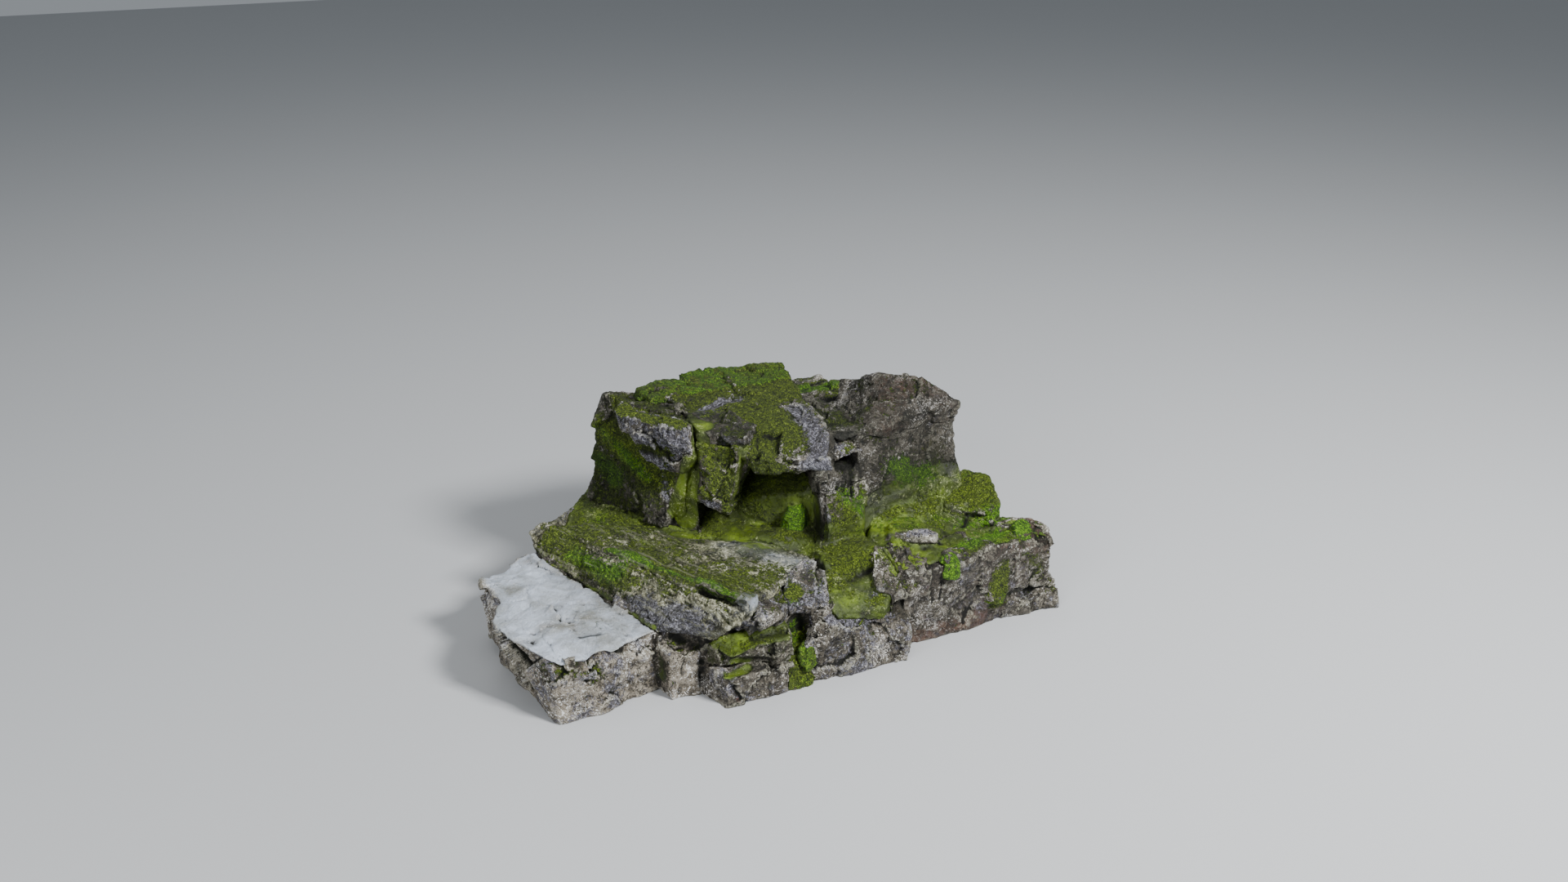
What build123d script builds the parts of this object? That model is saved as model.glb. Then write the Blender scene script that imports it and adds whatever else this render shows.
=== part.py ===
from build123d import *
import os

os.makedirs("parts", exist_ok=True)

# Resin cave ornament: a stacked-rock cave for an aquarium, made of hewn-looking
# castings that are scribed to each other and bonded.
# Origin: centre of the footprint, on the surface it stands on.
# +X runs along the long front, the cave faces -Y, +Z is up. Millimetres.

# --- Driving dimensions -----------------------------------------------------
LENGTH = 300.0            # along X, grey slab to right foot stone
DEPTH = 196.0             # along Y, front stones to rear wall
HEIGHT = 118.0            # surface to the ridge of the tower

LEFT, RIGHT = -LENGTH / 2, LENGTH / 2
FRONT, BACK = -DEPTH / 2, DEPTH / 2

BED = 34.0                # top of the front base casting and of the grey slab
TERRACE = 47.0            # floor of the cave and the walk in front of it
RIGHT_TOP = 43.0          # top of the right base casting
ROOF_UNDER = 86.0         # lowest point of the roof boulder
ROOF_EDGE = 103.0         # front edge of the roof
ROOF_TOP = 107.0          # back of the roof, under the moss mat
MAT_TOP = 111.0           # top of the moss mat on the roof

CROWN = 8.0               # thickness of the tops of the two hollow base castings
FACING = -80.0            # front face of the front base, behind the front stones

PIN_RADIUS = 2.0          # acrylic locating dowels under the heavy upper stones
PIN_LENGTH = 12.0
PIN_CLEARANCE = 0.1


# --- Helpers ----------------------------------------------------------------
def facing_plane(core, a, b, c):
    """The plane through three points, its normal pointing away from the core."""
    a, b, c = Vector(*a), Vector(*b), Vector(*c)
    normal = (b - a).cross(c - a)
    if normal.dot(Vector(*core) - a) > 0:
        normal = -normal
    return Plane(origin=a, x_dir=b - a, z_dir=normal)


def hewn(label, outline, bottom, top, slopes=(), hollows=(), beside=()):
    """A stone: a plan outline raised from bottom to top, cut back to sloping
    faces given by three points each, with hollows (outline, bottom, top) cut
    into it, then scribed to the pieces beside it."""
    core_x = sum(point[0] for point in outline) / len(outline)
    core_y = sum(point[1] for point in outline) / len(outline)
    core = (core_x, core_y, bottom + 0.35 * (top - bottom))
    with BuildPart() as stone:
        with BuildSketch(Plane.XY.offset(bottom)):
            with BuildLine():
                Polyline(*outline, close=True)
            make_face()
        extrude(amount=top - bottom)
        for points in slopes:
            split(bisect_by=facing_plane(core, *points), keep=Keep.BOTTOM)
        for edge, low, high in hollows:
            with BuildSketch(Plane.XY.offset(low)):
                with BuildLine():
                    Polyline(*edge, close=True)
                make_face()
            extrude(amount=high - low, mode=Mode.SUBTRACT)
        for neighbour in beside:
            add(neighbour, mode=Mode.SUBTRACT)
    stone.part.label = label
    return stone.part


def dowels(radius, length):
    """One upright cylinder at every doweled joint, half in each stone."""
    with BuildPart() as group:
        with Locations(*DOWEL_JOINTS):
            Cylinder(radius, length)
    return group.part


def cushion(label, foot, radius, height, beside):
    """A dome of flocked moss standing on foot, bedded against its stones."""
    x, y, z = foot
    with BuildPart() as dome:
        with Locations((x, y, z + height / 2)):
            Cone(radius, 0.6 * radius, height)
        fillet(dome.edges().group_by(Axis.Z)[-1], 0.4 * radius)
        for neighbour in beside:
            add(neighbour, mode=Mode.SUBTRACT)
    dome.part.label = label
    return dome.part


def write(piece):
    export_step(piece, f"parts/{piece.label}.step")


# --- Locating dowels --------------------------------------------------------
DOWEL_JOINTS = [
    (-54, 48, TERRACE), (-34, 26, TERRACE),             # pillar
    (72, -10, RIGHT_TOP), (98, -8, RIGHT_TOP),          # tower
    (-26, 78, TERRACE), (80, 50, RIGHT_TOP),            # rear stones
]
locating_dowels = dowels(PIN_RADIUS, PIN_LENGTH)
locating_dowels.label = "locating_dowels"
dowel_bores = dowels(PIN_RADIUS + PIN_CLEARANCE, PIN_LENGTH + 2 * PIN_CLEARANCE)


# --- Base castings: hollow shells, open underneath --------------------------
SEAM = [(52, -84), (51, FACING), (49, -50), (46, 0), (42, BACK)]    # front to right base
SLAB_SEAM = [(-79, -65), (-108, 24)]                                # grey slab to front base

front_base_outline = [
    (-61, -78), (-58, FACING), *SEAM[1:], (-48, 96), (-61, 80),
    (-76, 60), (-93, 46), (-110, 38), *reversed(SLAB_SEAM),
]
front_cavity_outline = [(-66, -58), (40, -70), (34, 86), (-44, 84), (-64, 54), (-92, 26)]

right_base_outline = [
    *SEAM, (98, 94), (126, 62), (131, 0), (126, -55), (141, -72), (142, -84),
    (119, -82), (84, -87),
]
right_cavity_outline = [(61, -75), (112, -72), (116, -50), (121, 0), (116, 58), (94, 84), (54, 86)]


def base_casting(label, outline, cavity, top):
    """A casting with a flat top and one cavity that opens at its underside."""
    with BuildPart() as casting:
        with BuildSketch():
            with BuildLine():
                Polyline(*outline, close=True)
            make_face()
        extrude(amount=top)
        with BuildSketch():
            with BuildLine():
                Polyline(*cavity, close=True)
            make_face()
        extrude(amount=top - CROWN, mode=Mode.SUBTRACT)
        add(dowel_bores, mode=Mode.SUBTRACT)
    casting.part.label = label
    return casting.part


front_base = base_casting("front_base", front_base_outline, front_cavity_outline, BED)
right_base = base_casting("right_base", right_base_outline, right_cavity_outline, RIGHT_TOP)

# --- Left side: grey slab, wedge, tilted ramp slab --------------------------
grey_slab = hewn(
    "grey_slab",
    [(-112, -74), (-98, -69), *SLAB_SEAM, (-110, 36),
     (-123, 30), (-142, 20), (-141, -4), (LEFT, -22), (-147, -42), (-137, -66), (-132, -74)],
    0, BED,
    slopes=[((-132, -74, 0), (-112, -74, 0), (-122, -70, BED)),
            ((-147, -42, 0), (-137, -66, 0), (-143, -60, BED)),
            ((LEFT, -22, BED), (-147, -42, BED), (-141, -22, 0))],
)
wedge_stone = hewn(
    "wedge_stone",
    [(-79, -65), (-77, -78), (-61, -78), (-70, -64)],
    0, BED,
    slopes=[((-77, -78, 24), (-61, -78, 22), (-72, -62, 36))],
    beside=[front_base, grey_slab],
)
RAMP_TOP = [(-48, -97, 53), (-32, -84, 50.5), (-107, 41, 46)]
LAMINA_TOP = [(-48, -97, 56), (-32, -84, 53.5), (-107, 41, 48.5)]
RAMP_SIDE = [(-79, -65, BED), (-108, 24, BED), (-73, -26, 50)]
RAMP_NOSE = [(-79, -65, BED), (-50, -97, 41), (-56, -76, 52)]

ramp_slab = hewn(
    "ramp_slab",
    [(-49, -97), (-32, -86), (-29, -81), (-7, -72), (2, -67), (14, -66), (18, -46), (3, -31),
     (-13, -14), (-31, -5), (-43, 5), (-57, 23), (-69, 34), (-94, 39), (-110, 38),
     *reversed(SLAB_SEAM)],
    BED, 56,
    slopes=[RAMP_TOP, RAMP_SIDE, RAMP_NOSE,
            [(-50, -97, 47), (-28, -81, 45), (-44, -78, BED)]],
)
ramp_lamina = hewn(
    "ramp_lamina",
    [(-49, -97), (-33, -87), (-41, -82), (-50, -55), (-56, -35), (-57, -10), (-65, 5),
     (-80, 24), (-98, 18), (-84, -20), (-76, -50), (-66, -66), (-60, -80)],
    45, 60,
    slopes=[LAMINA_TOP, RAMP_SIDE, RAMP_NOSE],
    beside=[ramp_slab],
)
left_shard = hewn(
    "left_shard",
    [(-110, 38), (-94, 39), (-80, 54), (-93, 46)],
    BED, 50,
    slopes=[((-110, 38, 45), (-94, 39, 48), (-82, 54, 50))],
    beside=[ramp_slab, front_base],
)

# --- Cave floor and the apron below the terrace edge ------------------------
cave_floor = hewn(
    "cave_floor",
    [(-61, 80), (-76, 60), (-93, 46), (-94, 39), (-69, 34), (-57, 23), (-43, 5), (-31, -5),
     (-13, -14), (3, -31), (18, -46), (24, -60), (46, -60), *SEAM[1:], (-48, 96)],
    BED, TERRACE,
    slopes=[((18, -46, 44.5), (-69, 34, 45.5), (-36, 12, 47.2))],
    beside=[ramp_slab, left_shard, right_base, dowel_bores],
)
apron_stone = hewn(
    "apron_stone",
    [(4, -84), (8, -90), (34, -94), (50, FACING), (49, -50), (46, -60), (24, -60), (18, -46), (14, -66)],
    26, TERRACE,
    slopes=[((4, -86, 35), (36, -88, 34), (20, -62, TERRACE))],
    beside=[front_base, ramp_slab, cave_floor, right_base],
)

# --- Front corner: broken strata below the ramp tip -------------------------
corner_stone = hewn(
    "corner_stone",
    [(-61, -78), (-55, -96), (-22, -97), (-18, FACING), (-58, FACING)],
    0, 17,
    slopes=[((-55, -96, 15), (-22, -97, 16), (-40, FACING, 17))],
    beside=[front_base, wedge_stone],
)
mossy_ledge = hewn(
    "mossy_ledge",
    [(-60, -79), (-52, -93), (-38, -92), (-22, -95), (-16, -88), (-17, FACING), (-58, FACING)],
    14, 32,
    slopes=[((-52, -93, 27), (-22, -95, 29), (-38, FACING, 32)),
            ((-52, -93, 21), (-36, -84, 15), (-40, -92, 19))],
    beside=[front_base, wedge_stone, corner_stone],
)
tip_chunk = hewn(
    "tip_chunk",
    [(-44, -84), (-36, -90), (-22, -88), (-13, -80), (-16, -70), (-40, -72)],
    BED, 47,
    slopes=[((-36, -90, 42), (-22, -88, 40), (-24, -76, 46))],
    beside=[ramp_slab],
)
groove_stone = hewn(
    "groove_stone",
    [(-18, FACING), (-22, -96), (-8, -96), (2, FACING)],
    0, 22,
    slopes=[((-22, -96, 13), (-8, -96, 12), (-10, FACING, 22))],
    beside=[front_base, corner_stone, mossy_ledge],
)
front_rock = hewn(
    "front_rock",
    [(-10, -93), (0, -97), (22, FRONT), (28, FACING), (0, FACING)],
    0, 37,
    slopes=[((0, -97, 33), (22, FRONT, 25), (12, FACING, 37)),
            ((-10, -93, 24), (0, -97, 31), (0, FACING, 38))],
    beside=[front_base, groove_stone, apron_stone],
)
low_rock = hewn(
    "low_rock",
    [(22, FRONT), (47, FRONT), (53, -83), (50, FACING), (26, FACING)],
    0, 30,
    slopes=[((22, FRONT, 20), (47, FRONT, 16), (36, FACING, 30))],
    beside=[front_base, front_rock, right_base, apron_stone],
)
leaning_stone = hewn(
    "leaning_stone",
    [(34, -86), (48, -93), (58, -88), (59, -66), (44, -62)],
    20, 50,
    slopes=[((34, -86, 38), (48, -93, 34), (52, -64, 50)),
            ((48, -94, 14), (58, -89, 20), (52, -92, 36))],
    beside=[front_base, right_base, apron_stone, cave_floor, low_rock],
)
edge_boulder = hewn(
    "edge_boulder",
    [(-14, -82), (4, -86), (9, -74), (2, -66), (-10, -70)],
    BED, 52,
    slopes=[((-14, -82, 44), (4, -86, 45), (-2, -70, 51))],
    beside=[ramp_slab, tip_chunk, apron_stone, front_rock],
)

# --- Right side: terrace, step, foot and shoulder stones --------------------
foot_stone = hewn(
    "foot_stone",
    [(114, -85), (148, -88), (RIGHT, -84), (149, -70), (136, -58), (128, -60)],
    0, 18,
    slopes=[((114, -85, 10), (149, -88, 9), (130, -70, 17))],
    beside=[right_base],
)
terrace_plate = hewn(
    "terrace_plate",
    [(51, -80), (84, -85), (119, -80), (141, -81), (125, -54), (116, -30), (60, -36), (49, -50)],
    RIGHT_TOP, 52,
    slopes=[((51, -82, 44), (119, -82, 43.5), (90, -40, 50))],
    beside=[leaning_stone, apron_stone, cave_floor],
)
step_block = hewn(
    "step_block",
    [(56, -60), (78, -71), (88, -58), (68, -43)],
    44, 53,
    slopes=[((56, -60, 50.5), (78, -71, 50), (68, -43, 50.5))],
    beside=[terrace_plate, leaning_stone, cave_floor],
)
end_stone = hewn(
    "end_stone",
    [(120, -79), (141, -82), (140, -72), (126, -56), (118, -62)],
    RIGHT_TOP, 50,
    slopes=[((120, -79, 45), (141, -82, 44), (126, -60, 47))],
    beside=[terrace_plate],
)
front_shoulder = hewn(
    "front_shoulder",
    [(101, -44), (108, -53), (127, -57), (130, -38), (122, -26), (112, -31), (102, -35)],
    44, 62,
    slopes=[((108, -52, 53), (127, -57, 56), (118, -30, 62))],
    beside=[terrace_plate, right_base, end_stone],
)
rear_shoulder = hewn(
    "rear_shoulder",
    [(112, -32), (122, -26), (130, -36), (131, 0), (127, 40), (112, 46), (112, 0)],
    RIGHT_TOP, 66,
    slopes=[((112, -32, 61), (130, -36, 54), (128, 40, 48))],
    beside=[terrace_plate, front_shoulder],
)

# --- Cave: pillar, tower, rear wall -----------------------------------------
PILLAR_TOP = [(-58, 61, 108), (-30, 0, 108), (-40, 76, 100)]

pillar = hewn(
    "pillar",
    [(-72, 56), (-41, 12), (-29, 0), (-19, 13), (-30, 60), (-54, 82)],
    TERRACE, 110,
    slopes=[[(-72, 56, TERRACE), (-41, 12, TERRACE), (-58.5, 61, 108)],
            [(-72, 56, TERRACE), (-54, 82, TERRACE), (-58.5, 60, 108)], PILLAR_TOP],
    beside=[dowel_bores],
)
crest_stone = hewn(
    "crest_stone",
    [(-60, 60), (-60, 30), (-41, 12), (-34, 5), (-28, 12), (-34, 60)],
    TERRACE, 110,
    slopes=[[(-41.5, 17.7, 59.7), (-58.6, 61.3, 108.6), (-33, 4, 85)], PILLAR_TOP],
    beside=[pillar, dowel_bores],
)
TOWER_FACE = [(25, -42, 52), (112, -34, 66), (30, -26, 106)]

tower = hewn(
    "tower",
    [(25, -42), (112, -34), (118, -8), (112, 8), (88, 27), (44, 24), (34, 0)],
    RIGHT_TOP, 106,
    slopes=[TOWER_FACE,
            [(30, -26, 102), (62, -24, 99), (50, 22, 105)],
            [(62, -24, 99), (112, -32, 101), (90, 26, 101)]],
    hollows=[([(36, -42), (53, -42), (50, -14), (40, -14)], 81, 98)],
    beside=[terrace_plate, right_base, cave_floor, front_shoulder, rear_shoulder, dowel_bores],
)
tower_crown = hewn(
    "tower_crown",
    [(60, -32), (115, -33), (117, -10), (112, 8), (88, 27), (68, 20), (56, 2)],
    93, HEIGHT,
    slopes=[[(62, -28, 93), (111, -26, 93), (113, -30, 107)],          # front, leaning out
            [(62, -26, 103), (113, -29, 107), (96, -12, HEIGHT)],      # above it, leaning back
            [(56, -26, 98), (56, 2, 98), (66, -6, 107)],               # left
            [(97, -12, HEIGHT), (114, -30, 107), (112, 8, 106)],       # right
            [(66, 2, HEIGHT), (97, -12, HEIGHT), (90, 27, 103)]],      # back
    beside=[tower],
)
pocket_ledge = hewn(
    "pocket_ledge",
    [(36, -33), (54, -32), (50, -14), (40, -14)],
    89, 94,
    slopes=[[(36, -33, 91), (54, -32, 90), (46, -20, 94)]],
    beside=[tower],
)
jamb_boulder = hewn(
    "jamb_boulder",
    [(26, -46), (46, -44), (54, -38), (52, -28), (30, -30)],
    TERRACE, 78,
    slopes=[[(26, -46, 56), (50, -44, 58), (36, -32, 80)]],
    beside=[tower, terrace_plate],
)
tower_ledge = hewn(
    "tower_ledge",
    [(56, -40), (66, -47), (94, -46), (104, -38), (100, -30), (60, -32)],
    TERRACE, 57,
    slopes=[[(66, -47, 51), (94, -46, 52), (80, -33, 57)]],
    beside=[tower, terrace_plate, jamb_boulder, step_block, front_shoulder],
)
tower_key = hewn(
    "tower_key",
    [(98, -39), (113, -37), (113, -28), (99, -30)],
    57, 68,
    slopes=[[(98, -39, 64), (113, -37, 63), (105, -30, 68)]],
    beside=[tower, front_shoulder, rear_shoulder],
)
rear_left_stone = hewn(
    "rear_left_stone",
    [(-54, 82), (-30, 60), (4, 64), (6, 90), (-46, 94)],
    TERRACE, 101,
    slopes=[[(-46, 94, 60), (6, 92, 60), (-20, 78, 100)]],
    beside=[pillar, dowel_bores],
)
rear_right_stone = hewn(
    "rear_right_stone",
    [(6, 90), (4, 64), (44, 24), (88, 27), (112, 8), (112, 46), (84, 86)],
    RIGHT_TOP, 95,
    slopes=[[(6, 92, 60), (86, 86, 60), (50, 70, 94)],
            [(86, 86, 56), (114, 46, 60), (92, 50, 90)]],
    beside=[tower, rear_left_stone, rear_shoulder, right_base, cave_floor, dowel_bores],
)
inner_boulder = hewn(
    "inner_boulder",
    [(-8, 3), (0, -4), (15, -16), (29, -27), (34, 0), (20, 14), (4, 14)],
    TERRACE, 72,
    slopes=[[(-8, 3, 60), (29, -27, 68), (20, 8, 72)]],
    beside=[tower],
)

# --- Roof and the stones of the cave mouth ----------------------------------
roof_boulder = hewn(
    "roof_boulder",
    [(-19, -8), (28, -45), (35, -24), (44, 24), (40, 60), (4, 70), (-30, 62), (-24, 4)],
    ROOF_UNDER, 112,
    slopes=[[(-20, -7, ROOF_EDGE), (28, -45, ROOF_EDGE), (10, 40, ROOF_TOP)],
            [(-20, -7, 97), (28, -45, 94), (23, -2, 106)],
            [(-20, -8, 104), (-3, -21, 88), (-20, 40, 98)],
            [(5, -27, 86), (24, -42, 89), (20, 10, 86)]],
    beside=[pillar, crest_stone, tower, rear_left_stone, rear_right_stone],
)
lintel_stone = hewn(
    "lintel_stone",
    [(-28, -1), (-8, -17), (4, -8), (-10, 22), (-24, 22)],
    98, 107,
    slopes=[[(-28, -1, 105), (-8, -17, 104), (-10, 22, 107)]],
    beside=[pillar, crest_stone, roof_boulder],
)
hanging_stone = hewn(
    "hanging_stone",
    [(-30, -1), (-9, -17), (0, -6), (-20, 10)],
    62, 99,
    slopes=[[(-30, 0, 66), (-14, -13, 61.5), (-20, 10, 68)],
            [(-9, -17, 95), (-15, -12, 62), (-4, -6, 70)]],
    beside=[pillar, crest_stone, lintel_stone, roof_boulder],
)
nose_boulder = hewn(
    "nose_boulder",
    [(-60, 30), (-52, 18), (-34, -2), (-30, 2), (-34, 14), (-52, 44)],
    80, MAT_TOP,
    slopes=[[(-60, 30, 98), (-47, 12, 82), (-50, 34, 90)],
            [(-60, 30, 109), (-34, -2, 108), (-42, 26, 109.5)],
            [(-34, -2, 96), (-37, 2, 80), (-30, 4, 84)]],
    beside=[pillar, crest_stone, lintel_stone, hanging_stone, roof_boulder],
)
cap_stone = hewn(
    "cap_stone",
    [(-36, 44), (2, 40), (24, 35), (44, 38), (47, 54), (14, 68), (-16, 68), (-38, 62)],
    103, MAT_TOP,
    slopes=[[(-36, 44, 108), (24, 35, 109.5), (14, 68, MAT_TOP)]],
    beside=[pillar, crest_stone, roof_boulder, rear_left_stone, rear_right_stone, tower],
)

# --- Moss cushions ----------------------------------------------------------
MOSS = [
    ("groove_moss", (-9, -92, 10), 6, 12, [groove_stone, corner_stone, mossy_ledge, front_rock]),
    ("cave_moss", (18, -20, TERRACE), 7, 12, [inner_boulder, cave_floor]),
    ("end_moss", (128, -76, RIGHT_TOP), 6, 7, [end_stone, terrace_plate, right_base]),
    ("rim_moss", (78, -84, 38), 6, 8, [terrace_plate, right_base]),
    ("face_moss", (107, -80, 12), 7, 17, [right_base, foot_stone]),
]
moss_cushions = [cushion(*each) for each in MOSS]

PIECES = [
    front_base, right_base, grey_slab, wedge_stone, ramp_slab, ramp_lamina, left_shard,
    cave_floor, apron_stone, corner_stone, mossy_ledge, tip_chunk, groove_stone, front_rock,
    low_rock, leaning_stone, edge_boulder, foot_stone, terrace_plate, step_block, end_stone,
    front_shoulder, rear_shoulder, pillar, crest_stone, tower, tower_crown, pocket_ledge,
    jamb_boulder, tower_ledge, tower_key, rear_left_stone, rear_right_stone, inner_boulder,
    roof_boulder, lintel_stone, hanging_stone, nose_boulder, cap_stone,
    locating_dowels, *moss_cushions,
]
for piece in PIECES:
    print(piece.label, len(piece.solids()), round(piece.volume), round(piece.bounding_box().max.Z, 1))
    write(piece)
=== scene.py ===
import math

import bmesh
import bpy
import numpy as np
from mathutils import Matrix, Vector


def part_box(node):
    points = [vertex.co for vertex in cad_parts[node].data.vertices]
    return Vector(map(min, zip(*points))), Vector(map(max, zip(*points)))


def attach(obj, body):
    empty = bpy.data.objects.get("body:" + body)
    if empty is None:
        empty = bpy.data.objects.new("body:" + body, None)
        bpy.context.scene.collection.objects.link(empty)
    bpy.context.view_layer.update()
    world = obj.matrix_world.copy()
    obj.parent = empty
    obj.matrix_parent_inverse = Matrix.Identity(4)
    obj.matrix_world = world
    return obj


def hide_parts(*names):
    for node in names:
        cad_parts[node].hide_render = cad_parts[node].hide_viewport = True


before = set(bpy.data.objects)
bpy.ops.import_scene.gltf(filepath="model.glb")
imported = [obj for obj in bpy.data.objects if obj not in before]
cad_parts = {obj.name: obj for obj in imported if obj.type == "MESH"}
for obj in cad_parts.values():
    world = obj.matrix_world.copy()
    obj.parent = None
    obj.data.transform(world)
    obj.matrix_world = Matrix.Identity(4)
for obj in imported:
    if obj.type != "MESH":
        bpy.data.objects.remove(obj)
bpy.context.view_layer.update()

# Resin cave ornament: every casting gets a fine skin over its CAD solid, which is broken up
# into chips, beds, cracks and moss, and carries the masks that its paint follows.
# Metres, in the CAD frame: +X along the front, the cave faces -Y, +Z up.

MM = 0.001
WELD = 1e-6             # metres: points closer than this are one point
SOFTEN = 0.5            # how far one smoothing step moves a point towards its neighbours
FATTEN = 1.0            # mm that each casting grows by before all are fused
SHELL_LIMIT = 2.0       # how many times further than that a sharp corner may grow
FUSED_VOXEL = 1.5       # mm
FUSED_ROUNDING = 7      # smoothing steps


# --- Noise fields, worked out on each skin by one geometry node group ---------
class Nodes:
    """Short ways to add and join the nodes of one tree."""

    def __init__(self, tree):
        self.tree = tree

    def add(self, kind, inputs=None, **settings):
        node = self.tree.nodes.new(kind)
        for key, value in settings.items():
            setattr(node, key, value)
        for key, value in (inputs or {}).items():
            self.feed(node.inputs[key], value)
        return node

    def feed(self, socket, value):
        if isinstance(value, bpy.types.NodeSocket):
            self.tree.links.new(value, socket)
        else:
            socket.default_value = value

    def math(self, operation, a, b=0.0, c=0.0):
        node = self.add("ShaderNodeMath", {0: a, 1: b, 2: c}, operation=operation)
        return node.outputs[0]

    def vector(self, operation, a, b):
        return self.add("ShaderNodeVectorMath", {0: a, 1: b}, operation=operation).outputs[0]


def stretched(nodes, position, angle, tilt, sizes):
    """Position turned about Z, then about Y, and divided by sizes (mm), for layered noise."""
    turned = nodes.add("ShaderNodeVectorRotate", {"Vector": position, "Angle": angle},
                       rotation_type="Z_AXIS").outputs[0]
    turned = nodes.add("ShaderNodeVectorRotate", {"Vector": turned, "Angle": tilt},
                       rotation_type="Y_AXIS").outputs[0]
    return nodes.vector("MULTIPLY", turned, [1 / (size * MM) for size in sizes])


RAMP_GRAIN = math.radians(-115)    # turns the ramp's length onto X
BED_TILT = math.radians(7)

NOISES = {    # name: (size in mm, detail, roughness, seed)
    "lump": (46, 1, 0.5, 1.0),
    "block": (17, 2, 0.5, 2.0),
    "knob": (7, 2, 0.5, 3.0),
    "grit": (2.6, 3, 0.65, 4.0),
    "patch": (24, 5, 0.6, 5.0),
    "blotch": (13, 4, 0.6, 6.0),
}
LAYERS = {    # name: (turn about Z, tilt, sizes in mm, detail)
    "bed": (0.0, BED_TILT, (42, 42, 7), 3),
    "grain": (RAMP_GRAIN, 0.0, (60, 5, 5), 3),
    "streak": (0.0, 0.0, (6, 6, 48), 3),
}
LAYER_SEED, RAGGED_SEED, WARP_SEED = 7.0, 8.0, 10.0
CELLS = {"chip": 21.0, "spall": 8.0}    # mm across each broken face
RAGGED_SIZE = 6.0       # mm, of the noise that makes the edges of the broken faces ragged
RAGGED_REACH = 5.0      # mm, of the shift that it gives
WARP_SIZE = 26.0        # mm, of the noise that bends each casting as a whole
CRACK_SIZE = 26.0       # mm between cracks
CLUMP_SIZE = 2.6        # mm across a tuft of moss


def welded(mesh):
    """The mesh as a bmesh whose faces share their points."""
    solid = bmesh.new()
    solid.from_mesh(mesh)
    bmesh.ops.remove_doubles(solid, verts=solid.verts, dist=WELD)
    return solid


def even_out(piece, voxel, rounding):
    """Makes the piece an even mesh of small faces, voxel mm wide, with softened edges."""
    remesh = piece.modifiers.new("even", "REMESH")
    remesh.mode = "VOXEL"
    remesh.voxel_size = voxel * MM
    soften = piece.modifiers.new("soften", "SMOOTH")
    soften.iterations = rounding
    soften.factor = SOFTEN


def fused_skin():
    """Every casting, a little fattened, fused into one mesh with soft inner corners, for the
    skins to merge along."""
    joined = bmesh.new()
    for node in CASTINGS:
        stone = welded(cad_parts[node].data)
        stone.normal_update()
        for vertex in stone.verts:
            shell = min(vertex.calc_shell_factor(), SHELL_LIMIT)
            vertex.co += vertex.normal * shell * FATTEN * MM
        mesh = bpy.data.meshes.new("fat_stone")
        stone.to_mesh(mesh)
        stone.free()
        joined.from_mesh(mesh)
        bpy.data.meshes.remove(mesh)
    mesh = bpy.data.meshes.new("fused")
    joined.to_mesh(mesh)
    joined.free()
    fused = bpy.data.objects.new("fused", mesh)
    bpy.context.scene.collection.objects.link(fused)
    even_out(fused, FUSED_VOXEL, FUSED_ROUNDING)
    return fused


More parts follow.
